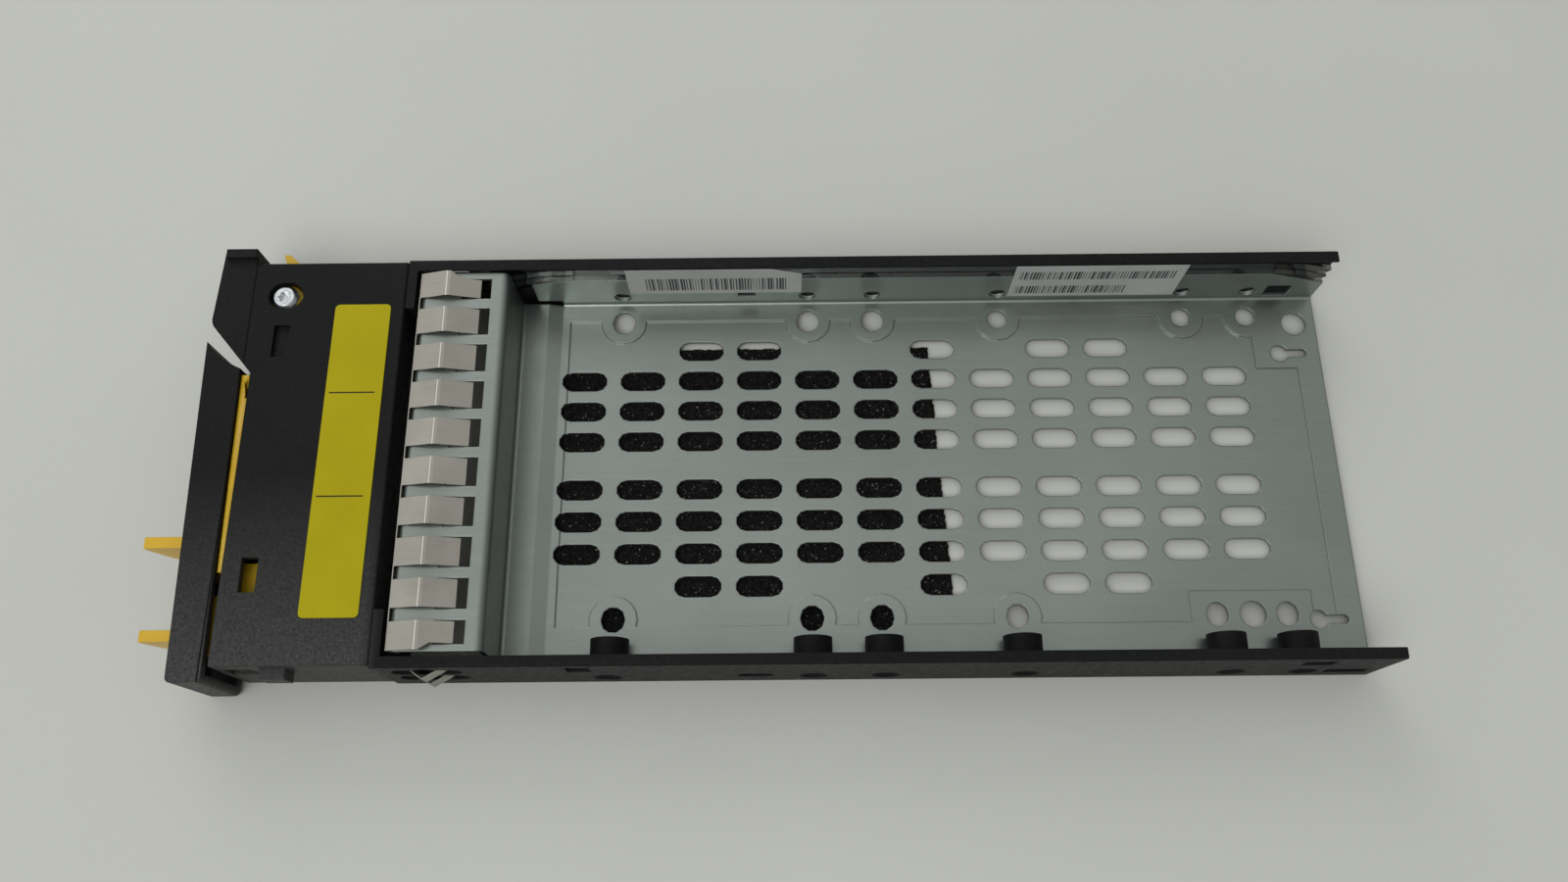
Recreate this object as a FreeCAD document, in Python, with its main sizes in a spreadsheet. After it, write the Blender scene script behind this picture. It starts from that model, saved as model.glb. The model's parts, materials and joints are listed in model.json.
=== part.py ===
"""Hot swap carrier for a 2.5 inch drive.

Frame: +X to the rear (connector end), +Y to the side with the light pipe, +Z up.
Every piece is drawn from one datum: the frontmost drive screw hole beside the near
rail, on top of the tray floor.  One placement, shared by all bodies, then puts the
origin under the middle of the whole carrier, on the surface that it stands on.
"""
import FreeCAD, Part
import Sketcher
import math
import os
from types import SimpleNamespace

os.makedirs("parts", exist_ok=True)

SIZES = {
    # drive and its screw pattern
    "hole_pitch": 76.6,
    "second_seat": 37.73,
    "third_seat": 50.98,
    "hole_height": 3.0,
    "row_pitch": 61.72,
    "drive_near": 4.3,
    "drive_far": 66.05,
    # folded steel tray
    "sheet_gauge": 0.8,
    "rear_reach": 141.6,
    "wall_front": 17.5,
    "wall_height": 10.5,
    "near_wall": 8.45,
    "wall_front_height": 8.8,
    "wall_rear_height": 6.5,
    "fold_radius": 0.6,
    "panel_drop": 0.4,
    "panel_front": 11.0,
    "panel_rear": 136.8,
    "panel_near": 1.3,
    "panel_far": 62.0,
    "pad_radius": 4.6,
    "slot_length": 9.1,
    "slot_width": 4.1,
    "slot_start": 7.55,
    "slot_pitch": 11.765,
    "slot_middle": 30.86,
    "slot_inner_row": 5.0,
    "slot_row_pitch": 6.5,
    "slot_short_row": 24.5,
    "slot_columns": 12,
    "front_hole_width": 4.5,
    "front_hole_length": 5.0,
    "rear_hole_width": 4.15,
    "rear_hole_length": 4.75,
    "far_rear_hole": 4.1,
    "extra_hole": 5.0,
    "extra_near": 121.1,
    "extra_far": 137.3,
    "extra_far_side": 60.04,
    "keyhole_eye": 133.5,
    "keyhole_end": 139.0,
    "keyhole_far": 53.5,
    "keyhole_near": 1.1,
    "keyhole_radius": 1.8,
    "keyhole_slot": 1.7,
    "hatch_front": 23.6,
    "hatch_length": 3.5,
    "hatch_low": 2.9,
    "hatch_high": 4.9,
    "rear_hatch_front": 131.0,
    "rear_hatch_rear": 136.0,
    "rear_hatch_low": 0.9,
    "rear_hatch_high": 5.4,
    "corner_front": 128.4,
    "corner_side": 50.3,
    "bump_front": 109.4,
    "bump_rear": 132.5,
    "shelf_rise": 0.9,
    "shelf_rear": 15.5,
    "ramp_rear": 12.6,
    "riser_face": 20.7,
    "comb_top": 15.0,
    "comb_front": 37.6,
    "comb_near": 8.3,
    "comb_far": 65.8,
    "comb_lip": 2.5,
    "window_front": 29.6,
    "window_rear": 24.0,
    # shielding fingers
    "spring_gauge": 0.2,
    "finger_count": 10,
    "finger_width": 5.2,
    "finger_pitch": 7.62,
    "finger_far": 65.6,
    "finger_ridge": 32.2,
    "finger_rise": 1.6,
    "finger_tip": 26.0,
    "ridge_flat": 1.1,
    "finger_clearance": 0.2,
    "finger_taper": 1.3,
    "leaf_front": 36.6,
    "leaf_peak": 31.8,
    "leaf_rear": 26.2,
    "leaf_height": 3.4,
    "leaf_reach": 1.5,
    "leaf_reach_far": 0.6,
    "leaf_low": 4.6,
    "leaf_high": 10.4,
    "leaf_far": 12.8,
    "clip_margin": 1.2,
    # moulded rails
    "rail_near_wall": 2.0,
    "rail_far_wall": 1.55,
    "rail_top": 15.8,
    "rail_foot": 2.0,
    "rail_rear": 141.2,
    "leg_wall": 1.8,
    "leg_rear": 38.4,
    "leg_length": 10.4,
    "boss_radius": 3.6,
    "boss_clearance": 0.3,
    "bore_radius": 1.7,
    "sink_depth": 1.0,
    "channel_depth": 0.45,
    "channel_lip": 0.55,
    "channel_toe": 27.0,
    "edge_radius": 0.5,
    "clip_window_front": 6.4,
    "clip_window_rear": 2.1,
    "clip_window_low": 9.4,
    "clip_window_high": 13.7,
    "key_window_middle": 27.2,
    "key_window_level": 4.2,
    "key_window_length": 6.8,
    "key_window_width": 3.2,
    "rear_window_front": 124.5,
    "rear_window_rear": 130.2,
    "rear_window_high": 13.0,
    "end_window_front": 131.4,
    "end_window_rear": 139.0,
    "end_window_low": 1.6,
    "end_window_high": 4.8,
    # light pipe
    "pipe_height": 2.0,
    "pipe_depth": 1.1,
    "pipe_spacing": 2.3,
    "pipe_level": 12.95,
    "pipe_low_level": 4.9,
    "pipe_bend": 21.3,
    "pipe_drop_start": 11.0,
    "pipe_rear_bend": 20.0,
    "pipe_rear_start": 130.0,
    "pipe_rear": 140.6,
    "pipe_clearance": 0.2,
    "bridge_length": 7.0,
    "bridge_front": 8.5,
    "bridge_rear": 122.5,
    # front housing
    "housing_front": 68.4,
    "housing_near": 10.85,
    "housing_far": 67.9,
    "housing_top": 16.0,
    "housing_wall": 1.2,
    "housing_far_wall": 1.8,
    "roof": 1.4,
    "seam": 10.0,
    "tooth_way_rear": 54.5,
    "near_way_rear": 61.6,
    "key_front": 59.8,
    "key_rear": 55.2,
    "key_reach": 2.0,
    "key_top": 14.5,
    "front_window_near": 47.95,
    "front_window_far": 54.5,
    "latch_window_near": 2.35,
    "latch_window_far": 8.75,
    "view_window_front": 64.8,
    "view_window_rear": 61.8,
    "pocket_floor": 0.5,
    # pivot
    "pivot_front": 64.0,
    "pivot_side": 60.8,
    "screw_radius": 1.5,
    "screw_clearance": 0.05,
    "screw_head_radius": 2.6,
    "screw_head_height": 1.65,
    "screw_dome": 0.7,
    "drive_radius": 1.25,
    "drive_waist": 0.85,
    "drive_depth": 0.9,
    "pivot_post_radius": 3.8,
    "post_clearance": 0.15,
    "hub_radius": 4.3,
    "collar_radius": 3.1,
    "hub_top": 13.9,
    "oval_rear": 60.1,
    "oval_width": 5.6,
    # lever and latch
    "lever_bottom": 8.2,
    "lever_top": 12.0,
    "lever_clearance": 0.4,
    "lever_back": 70.8,
    "arm_front": 68.2,
    "arm_rear": 66.3,
    "arm_near": 41.0,
    "arm_far": 46.4,
    "hub_step": 1.2,
    "passage_front": 73.0,
    "slot_back": 72.9,
    "rail_guide_front": 73.9,
    "guide_far": 1.4,
    "strip_near": 6.0,
    "tooth_front": 66.6,
    "tooth_lean": 0.7,
    "tooth_width": 1.9,
    "tooth_reach": 71.7,
    "tab_tip": 84.5,
    "tab_near": 11.4,
    "tab_gauge": 2.1,
    "tab_top": 13.0,
    "tab_bottom": 1.6,
    "tab_nose": 1.5,
    "latch_tab_tip": 82.7,
    "latch_tab_near": 5.8,
    "latch_travel": 3.0,
    "hook_front": 67.0,
    "hook_rear": 61.5,
    "hook_far": 8.6,
    "hook_gap": 0.3,
    # handle grip and bezel cap
    "grip_bottom": 1.0,
    "grip_wall": 1.6,
    "grip_front_far": 77.4,
    "grip_front_near": 75.4,
    "grip_back_far": 70.4,
    "grip_back_near": 69.2,
    "grip_near": 13.5,
    "grip_blank_far": 54.0,
    "grip_cavity_far": 43.5,
    "rib_gauge": 1.2,
    "rib_first": 18.0,
    "rib_pitch": 9.0,
    "grip_end_radius": 16.4,
    "cap_front_far": 76.3,
    "cap_front_near": 77.1,
    "cap_far": 70.5,
    "cap_shoulder": 55.0,
    "cap_tip": 44.9,
    "cap_step": 1.4,
    "cap_pipe_front": 76.45,
    "cap_round": 3.0,
    "grip_corner": 1.0,
    "lip_height": 1.0,
    "lip_width": 1.8,
    # labels and foam
    "label_gauge": 0.12,
    "label_corner": 0.9,
    "label_clip": 2.0,
    "front_label_front": 53.5,
    "front_label_rear": 42.8,
    "front_label_near": 2.4,
    "front_label_far": 58.7,
    "part_label_front": 1.75,
    "part_label_rear": 36.5,
    "part_label_bottom": 4.9,
    "serial_label_front": 78.6,
    "serial_label_rear": 112.4,
    "serial_label_bottom": 2.1,
    "side_label_top": 14.9,
    "foam_gauge": 0.75,
    "foam_front": 12.5,
    "foam_rear": 64.1,
    "foam_near": 3.2,
    "foam_far": 56.6,
    "foam_skew": 3.0,
}


class Size:
    """A length together with the sheet expression that drives it."""

    def __init__(self, value, text):
        self.value = float(value)
        self.text = text

    def joined(self, other, sign, value):
        return Size(value, "(%s %s %s)" % (self.text, sign, other.text))

    def __add__(self, other):
        other = size(other)
        return self.joined(other, "+", self.value + other.value)

    def __sub__(self, other):
        other = size(other)
        return self.joined(other, "-", self.value - other.value)

    def __mul__(self, other):
        other = size(other)
        return self.joined(other, "*", self.value * other.value)

    def __truediv__(self, other):
        other = size(other)
        return self.joined(other, "/", self.value / other.value)

    def __radd__(self, other):
        return size(other) + self

    def __rsub__(self, other):
        return size(other) - self

    def __rmul__(self, other):
        return size(other) * self

    def __neg__(self):
        return Size(-self.value, "(-1 * %s)" % self.text)


def size(item):
    """A plain number as a Size."""
    if isinstance(item, Size):
        return item
    return Size(item, "(%.6f)" % item)


doc = FreeCAD.newDocument("DriveCaddy")
sheet = doc.addObject("Spreadsheet::Sheet", "Sizes")
for row, (alias, number) in enumerate(SIZES.items(), 1):
    sheet.set("A%d" % row, alias)
    sheet.set("B%d" % row, str(number))
    sheet.setAlias("B%d" % row, alias)
doc.recompute()
d = SimpleNamespace(**{name: Size(number, "Sizes." + name) for name, number in SIZES.items()})

# The whole carrier's reach, which centres the origin under it.
CENTRE_X = (d.rear_reach - d.tab_tip) / 2
CENTRE_Y = (d.tooth_reach - d.grip_near) / 2
PIECES = []


def new_body(label):
    """An empty body for one piece, placed with all the others."""
    body = doc.addObject("PartDesign::Body", label)
    body.Label = label
    body.setExpression("Placement.Base.x", (-CENTRE_X).text)
    body.setExpression("Placement.Base.y", (-CENTRE_Y).text)
    body.setExpression("Placement.Base.z", d.rail_foot.text)
    PIECES.append(body)
    return body


def new_sketch(body, axis, start=0):
    """A sketch across the named axis; its own axes are the other two in X, Y, Z order."""
    role = {"x": "YZ_Plane", "y": "XZ_Plane", "z": "XY_Plane"}[axis]
    plane = [item for item in body.Origin.OriginFeatures if item.Role == role][0]
    sketch = body.newObject("Sketcher::SketchObject", "%sSketch" % body.Label)
    sketch.AttachmentSupport = [(plane, "")]
    sketch.MapMode = "FlatFace"
    offset = size(start)
    if axis == "y":
        offset = -offset
    sketch.setExpression("AttachmentOffset.Base.z", offset.text)
    return sketch


def hold(sketch, limits):
    """Add constraints together, each with the Size that drives it, or None for a plain one."""
    first = sketch.ConstraintCount
    sketch.addConstraint([limit for limit, driver in limits])
    for index, (limit, driver) in enumerate(limits, first):
        if driver is not None:
            sketch.setExpression("Constraints[%d]" % index, driver.text)


def at_point(geometry, vertex, x, y):
    """Limits that hold one point of a sketch at two coordinates."""
    pairs = (("DistanceX", size(x)), ("DistanceY", size(y)))
    return [
        (Sketcher.Constraint(kind, -1, 1, geometry, vertex, place.value), place)
        for kind, place in pairs
    ]


def with_radius(geometry, radius):
    """The limit that sets a circle's or an arc's radius."""
    return (Sketcher.Constraint("Radius", geometry, radius.value), radius)


def add_outline(sketch, points):
    """A closed polygon through the given points."""
    points = [(size(x), size(y)) for x, y in points]
    first = sketch.GeometryCount
    count = len(points)
    corners = [FreeCAD.Vector(x.value, y.value, 0) for x, y in points]
    lines = [Part.LineSegment(corners[i], corners[(i + 1) % count]) for i in range(count)]
    sketch.addGeometry(lines, False)
    limits = []
    for i, (x, y) in enumerate(points):
        joint = Sketcher.Constraint("Coincident", first + i, 2, first + (i + 1) % count, 1)
        limits.append((joint, None))
        limits += at_point(first + i, 1, x, y)
    hold(sketch, limits)


def add_box(sketch, x_low, x_high, y_low, y_high):
    add_outline(sketch, [(x_low, y_low), (x_high, y_low), (x_high, y_high), (x_low, y_high)])


def add_circle(sketch, x, y, radius):
    x, y, radius = size(x), size(y), size(radius)
    circle = Part.Circle(FreeCAD.Vector(x.value, y.value, 0), FreeCAD.Vector(0, 0, 1), radius.value)
    index = sketch.addGeometry(circle, False)
    hold(sketch, at_point(index, 3, x, y) + [with_radius(index, radius)])


def add_slot(sketch, x, y, length, width, upright=False):
    """A full-round slot along the sketch's first axis, or its second when upright."""
    x, y, length, width = size(x), size(y), size(length), size(width)
    reach = (length - width) / 2
    radius = width / 2
    turn = math.pi / 2 if upright else 0.0
    ends = []
    for side in (1, -1):
        if upright:
            ends.append((x, y + side * reach))
        else:
            ends.append((x + side * reach, y))
    arcs = []
    for index, (end_x, end_y) in enumerate(ends):
        middle = FreeCAD.Vector(end_x.value, end_y.value, 0)
        ring = Part.Circle(middle, FreeCAD.Vector(0, 0, 1), radius.value)
        begin = turn - math.pi / 2 + index * math.pi
        arcs.append(Part.ArcOfCircle(ring, begin, begin + math.pi))
    first = sketch.GeometryCount
    sketch.addGeometry(arcs, False)
    sketch.addGeometry(
        [
            Part.LineSegment(arcs[0].EndPoint, arcs[1].StartPoint),
            Part.LineSegment(arcs[1].EndPoint, arcs[0].StartPoint),
        ],
        False,
    )
    limits = [
        (Sketcher.Constraint("Tangent", first, 2, first + 2, 1), None),
        (Sketcher.Constraint("Tangent", first + 2, 2, first + 1, 1), None),
        (Sketcher.Constraint("Tangent", first + 1, 2, first + 3, 1), None),
        (Sketcher.Constraint("Tangent", first + 3, 2, first, 1), None),
        (Sketcher.Constraint("Equal", first, first + 1), None),
        with_radius(first, radius),
    ]
    for index, (end_x, end_y) in enumerate(ends):
        limits += at_point(first + index, 3, end_x, end_y)
    hold(sketch, limits)


def chords(x, y, radius, begin, sweep, steps):
    """Corners along an arc that is drawn as equal straight steps."""
    x, y, radius = size(x), size(y), size(radius)
    turns = [begin + sweep * step / steps for step in range(steps + 1)]
    return [(x + radius * math.cos(turn), y + radius * math.sin(turn)) for turn in turns]


END_FLATS = 5
RING_FLATS = 16


def add_stamped_circle(sketch, x, y, radius):
    """A pressed circle drawn as flats, for places that repeat and seat nothing round."""
    add_outline(sketch, chords(x, y, radius, 0.0, 2 * math.pi, RING_FLATS)[:-1])


def add_stamped_slot(sketch, x, y, length, width, upright=False):
    """A slot whose round ends are a few flats each, for rows with many of them."""
    reach = (size(length) - width) / 2
    radius = size(width) / 2
    quarter = math.pi / 2
    if upright:
        upper = chords(x, size(y) + reach, radius, 0.0, math.pi, END_FLATS)
        lower = chords(x, size(y) - reach, radius, math.pi, math.pi, END_FLATS)
        add_outline(sketch, upper + lower)
    else:
        right = chords(size(x) + reach, y, radius, -quarter, math.pi, END_FLATS)
        left = chords(size(x) - reach, y, radius, quarter, math.pi, END_FLATS)
        add_outline(sketch, right + left)


def solid_volume(body):
    doc.recompute()
    if body.Tip is None or body.Shape.isNull():
        return 0.0
    return body.Shape.Volume


def extrude(body, axis, sketch, length, adds):
    """Pad or pocket a sketch towards the positive side of its axis."""
    before = solid_volume(body)
    kind = "Pad" if adds else "Pocket"
    feature = body.newObject("PartDesign::" + kind, body.Label + kind)
    feature.Profile = sketch
    feature.setExpression("Length", size(length).text)
    feature.Reversed = (axis == "y") == adds
    body.Tip = feature
    after = solid_volume(body)
    if adds == (after <= before):
        raise ValueError("%s %s changed nothing" % (body.Label, feature.Name))
    return feature


def pad(body, axis, low, high, *shapes):
    """Add material between two levels; each shape draws itself on the sketch."""
    sketch = new_sketch(body, axis, low)
    for draw, *values in shapes:
        draw(sketch, *values)
    return extrude(body, axis, sketch, size(high) - low, True)


def cut(body, axis, low, high, *shapes):
    """Remove material between two levels."""
    sketch = new_sketch(body, axis, low)
    for draw, *values in shapes:
        draw(sketch, *values)
    return extrude(body, axis, sketch, size(high) - low, False)


def origin_axis(body, axis):
    role = {"x": "X_Axis", "y": "Y_Axis", "z": "Z_Axis"}[axis]
    return [item for item in body.Origin.OriginFeatures if item.Role == role][0]


def repeat(body, feature, axis, count, pitch):
    """Repeat a feature along one axis of the body."""
    pattern = body.newObject("PartDesign::LinearPattern", body.Label + "Pattern")
    pattern.Originals = [feature]
    pattern.Direction = (origin_axis(body, axis), [""])
    pattern.Occurrences = int(count.value)
    pattern.setExpression("Length", ((count - 1) * pitch).text)
    body.Tip = pattern
    doc.recompute()
    return pattern


def spread(body, feature, *steps):
    """Repeat a feature over a grid; each step is an axis, a count and a pitch."""
    grid = body.newObject("PartDesign::MultiTransform", body.Label + "Grid")
    grid.Originals = [feature]
    patterns = []
    for axis, count, pitch in steps:
        pattern = body.newObject("PartDesign::LinearPattern", body.Label + "Step")
        pattern.Direction = (origin_axis(body, axis), [""])
        pattern.Occurrences = int(size(count).value)
        pattern.setExpression("Length", ((size(count) - 1) * pitch).text)
        patterns.append(pattern)
    grid.Transformations = patterns
    body.Tip = grid
    doc.recompute()
    return grid


def soften(body, radius, chosen, kind="Fillet"):
    """Round or bevel the edges that the given test chooses."""
    doc.recompute()
    base = body.Tip
    names = []
    for number, edge in enumerate(base.Shape.Edges, 1):
        if chosen(edge):
            names.append("Edge%d" % number)
    if not names:
        raise ValueError("%s has no edge to soften" % body.Label)
    feature = body.newObject("PartDesign::" + kind, body.Label + kind)
    feature.Base = (base, names)
    feature.setExpression("Radius" if kind == "Fillet" else "Size", size(radius).text)
    body.Tip = feature
    doc.recompute()
    return feature


def runs_along(edge, axis):
    """Whether an edge is straight and lies along the named axis."""
    if edge.Curve.TypeId != "Part::GeomLine":
        return False
    step = edge.Vertexes[-1].Point - edge.Vertexes[0].Point
    others = {"x": (step.y, step.z), "y": (step.x, step.z), "z": (step.x, step.y)}[axis]
    return max(abs(others[0]), abs(others[1])) < 1e-6 < step.Length


def edge_at(axis, *places):
    """A test for edges along an axis that stand at one of the given pairs of coordinates."""

    def chosen(edge):
        if not runs_along(edge, axis):
            return False
        point = edge.Vertexes[0].Point
        pair = {"x": (point.y, point.z), "y": (point.x, point.z), "z": (point.x, point.y)}[axis]
        for place in places:
            first, second = size(place[0]).value, size(place[1]).value
            if abs(pair[0] - first) < 1e-3 and abs(pair[1] - second) < 1e-3:
                return True
        return False

    return chosen


SEATS = [size(0), d.second_seat, d.third_seat]
REAR_SEATS = [seat + d.hole_pitch for seat in SEATS]
NEAR_OUT = -(d.near_wall + d.sheet_gauge)
FAR_OUT = d.drive_far + d.sheet_gauge
RAIL_NEAR = NEAR_OUT - d.rail_near_wall
RAIL_FAR = FAR_OUT + d.rail_far_wall
UNDER = -d.sheet_gauge
PANEL = -d.panel_drop
PANEL_UNDER = UNDER - d.panel_drop
LOW = -d.rail_foot
PIVOT = (-d.pivot_front, d.pivot_side)

LEG_FRONT = d.leg_rear + d.leg_wall
CHANNEL_LOW = d.pipe_low_level - (d.pipe_spacing + d.pipe_height) / 2 - d.pipe_clearance
CHANNEL_TURN = d.pipe_low_level + (d.pipe_spacing + d.pipe_height) / 2 + d.pipe_clearance
CHANNEL_STEP = d.pipe_level - (d.pipe_spacing + d.pipe_height) / 2 - d.pipe_clearance
CHANNEL_TOP = d.rail_top - d.channel_lip
CHANNEL_BACK = FAR_OUT + d.channel_depth
FINGER_LOW = d.finger_far - (d.finger_count - 1) * d.finger_pitch - d.finger_width
LEVER_LOW = d.lever_bottom - 2 * d.lever_clearance
LEVER_HIGH = d.lever_top + 2 * d.lever_clearance
GRIP_LOW = -d.grip_bottom
CAP_BACK = -d.housing_front - d.cap_step
CAP_SLANT = (d.cap_shoulder - d.cap_tip) / (d.cap_front_near - d.housing_front)
CAP_TIP = d.cap_tip + d.cap_step * CAP_SLANT
WALL_IN_FRONT = -d.housing_front + d.housing_wall
WALL_IN_NEAR = -d.housing_near + d.housing_wall
WALL_IN_FAR = d.housing_far - d.housing_far_wall


# columns of the slots in the short rows: the first of each pair, and the one by itself
SHORT_PAIRS = (2, 8)
SHORT_SINGLE = 6
# ribs inside the grip, and the run of a thumb tab's lower edge in nose heights
RIB_COUNT = 3
TAB_HEEL = 2.2
TAB_ROOT = 4


def holes(places, radius):
    """Drawing instructions for equal round holes."""
    return [(add_circle, x, y, radius) for x, y in places]


def stamped(places, radius):
    """Drawing instructions for equal circles pressed into the sheet."""
    return [(add_stamped_circle, x, y, radius) for x, y in places]


def ovals(places, length, width):
    """Drawing instructions for equal slots that run across the carrier."""
    return [(add_stamped_slot, x, y, length, width, True) for x, y in places]


def is_circle(edge, radius, axis, level):
    """Whether an edge is a full circle of a radius at a level of an axis."""
    if edge.Curve.TypeId != "Part::GeomCircle":
        return False
    middle = getattr(edge.Curve.Center, axis)
    return abs(edge.Curve.Radius - radius.value) < 1e-4 and abs(middle - level.value) < 1e-3


def build_tray():
    """One folded sheet: floor, side walls, joggled riser and the comb plate."""
    body = new_body("tray")
    gauge = d.sheet_gauge
    channel = [
        (NEAR_OUT, d.wall_height),
        (NEAR_OUT, UNDER),
        (FAR_OUT, UNDER),
        (FAR_OUT, d.wall_height),
        (d.drive_far, d.wall_height),
        (d.drive_far, 0),
        (-d.near_wall, 0),
        (-d.near_wall, d.wall_height),
    ]
    pad(body, "x", -d.ramp_rear, d.rear_reach, (add_outline, channel))
    soften(body, d.fold_radius, edge_at("x", (d.drive_far, 0), (-d.near_wall, 0)))
    soften(body, d.fold_radius + gauge, edge_at("x", (FAR_OUT, UNDER), (NEAR_OUT, UNDER)))

    # joggle up to a shelf, riser and comb plate with its rolled front edge
    riser_front = -d.riser_face - gauge
    strip = [
        (-d.ramp_rear, 0),
        (-d.shelf_rear, d.shelf_rise),
        (-d.riser_face, d.shelf_rise),
        (-d.riser_face, d.comb_top),
        (-d.comb_front, d.comb_top),
        (-d.comb_front, d.comb_top - d.comb_lip),
        (gauge - d.comb_front, d.comb_top - d.comb_lip),
        (gauge - d.comb_front, d.comb_top - gauge),
        (riser_front, d.comb_top - gauge),
        (riser_front, d.shelf_rise - gauge),
        (-d.shelf_rear, d.shelf_rise - gauge),
        (-d.ramp_rear, UNDER),
    ]
    pad(body, "y", -d.comb_near, d.comb_far, (add_outline, strip))
    inner_folds = edge_at("y", (-d.riser_face, d.shelf_rise), (riser_front, d.comb_top - gauge))
    soften(body, d.fold_radius, inner_folds)
    outer_folds = edge_at(
        "y",
        (-d.riser_face, d.comb_top),
        (-d.comb_front, d.comb_top),
        (riser_front, d.shelf_rise - gauge),
    )
    soften(body, d.fold_radius + gauge, outer_folds)

    # the walls run on beside the ramp, free of it by a relief
    wall_low = d.shelf_rise + gauge
    for low, high in ((NEAR_OUT, -d.near_wall), (d.drive_far, FAR_OUT)):
        pad(body, "y", low, high, (add_box, -d.wall_front, -d.ramp_rear, wall_low, d.wall_height))
    front_slope = [
        (-d.wall_front, d.wall_front_height),
        (-d.pipe_drop_start, d.wall_height),
        (-d.wall_front, d.wall_height),
    ]
    rear_slope = [
        (d.rear_reach, d.wall_rear_height),
        (d.rear_reach, d.wall_height),
        (d.pipe_rear_start, d.wall_height),
    ]
    cut(body, "y", d.drive_far, FAR_OUT, (add_outline, front_slope), (add_outline, rear_slope))

    # side screw holes in the far wall, notches for the rail bosses in the near one
    places = [(x, d.hole_height) for x in SEATS + REAR_SEATS]
    cut(body, "y", d.drive_far, FAR_OUT, *holes(places, d.bore_radius))
    reach = d.boss_radius + d.boss_clearance
    notches = [(add_box, x - reach, x + reach, 0, d.wall_height) for x in SEATS + REAR_SEATS]
    cut(body, "y", NEAR_OUT, d.fold_radius - d.near_wall, *notches)
    cut(
        body, "y", d.drive_far, FAR_OUT,
        (add_box, d.hatch_front, d.hatch_front + d.hatch_length, d.hatch_low, d.hatch_high),
        (add_box, d.rear_hatch_front, d.rear_hatch_rear, d.rear_hatch_low, d.rear_hatch_high),
    )

    # windows that the shielding fingers dip into; the end ones are narrower
    gap = d.finger_clearance
    level = d.comb_top - gauge
    second = FINGER_LOW + d.finger_pitch
    opening = (
        add_box, -d.window_front, -d.window_rear, second - gap, second + d.finger_width + gap,
    )
    window = cut(body, "z", level, d.comb_top, opening)
    repeat(body, window, "y", d.finger_count - 2, d.finger_pitch)
    taper = d.finger_taper
    near_end = (
        add_box, -d.window_front, -d.window_rear,
        FINGER_LOW + taper - gap, FINGER_LOW + d.finger_width + gap,
    )
    far_end = (
        add_box, -d.window_front, -d.window_rear,
        d.finger_far - d.finger_width - gap, d.finger_far - taper + gap,
    )
    cut(body, "z", level, d.comb_top, near_end, far_end)

    # sunk panel with a raised corner and a raised strip at the rear
    panel = (add_box, -d.panel_front, d.panel_rear, -d.panel_near, d.panel_far)
    pad(body, "z", PANEL_UNDER, UNDER, panel)
    cut(body, "z", PANEL, 0, panel)
    step = d.panel_drop
    bump = (add_box, d.bump_front, d.bump_rear, -d.panel_near - step, d.pad_radius)
    bump_relief = (
        add_box, d.bump_front + step, d.bump_rear - step, -d.panel_near - step, d.pad_radius - step,
    )
    corner = (add_box, d.corner_front, d.panel_rear + step, d.corner_side, d.panel_far + step)
    corner_relief = (
        add_box, d.corner_front + step, d.panel_rear + step, d.corner_side + step, d.panel_far + step,
    )
    pad(body, "z", PANEL, 0, bump)
    pad(body, "z", PANEL, 0, corner)
    cut(body, "z", PANEL_UNDER, UNDER, bump_relief)
    cut(body, "z", PANEL_UNDER, UNDER, corner_relief)

    # the drive rests on the pads left round its screw holes
    both_rows = ("y", 2, d.row_pitch)
    both_ends = ("x", 2, d.hole_pitch)
    seats = [(x, 0) for x in SEATS]
    rest = pad(body, "z", PANEL, 0, *stamped(seats, d.pad_radius))
    spread(body, rest, both_ends, both_rows)

    # screw and locating holes
    bottom = PANEL_UNDER
    front = cut(body, "z", bottom, 0, *ovals(seats, d.front_hole_length, d.front_hole_width))
    repeat(body, front, "y", size(2), d.row_pitch)
    rear_seats = [(x, 0) for x in REAR_SEATS]
    cut(body, "z", bottom, 0, *ovals(rear_seats, d.rear_hole_length, d.rear_hole_width))
    extras = stamped([(x, d.row_pitch) for x in REAR_SEATS], d.far_rear_hole / 2)
    extras += holes([(d.extra_near, 0), (d.extra_far, d.extra_far_side)], d.extra_hole / 2)
    eyes = [(d.keyhole_eye, d.keyhole_far), (d.keyhole_eye, -d.keyhole_near)]
    cut(body, "z", bottom, 0, *extras, *holes(eyes, d.keyhole_radius))
    length = d.keyhole_end - d.keyhole_eye
    middle = d.keyhole_eye + length / 2
    tails = [(add_slot, middle, y, length, d.keyhole_slot) for x, y in eyes]
    cut(body, "z", bottom, 0, *tails)

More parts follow.
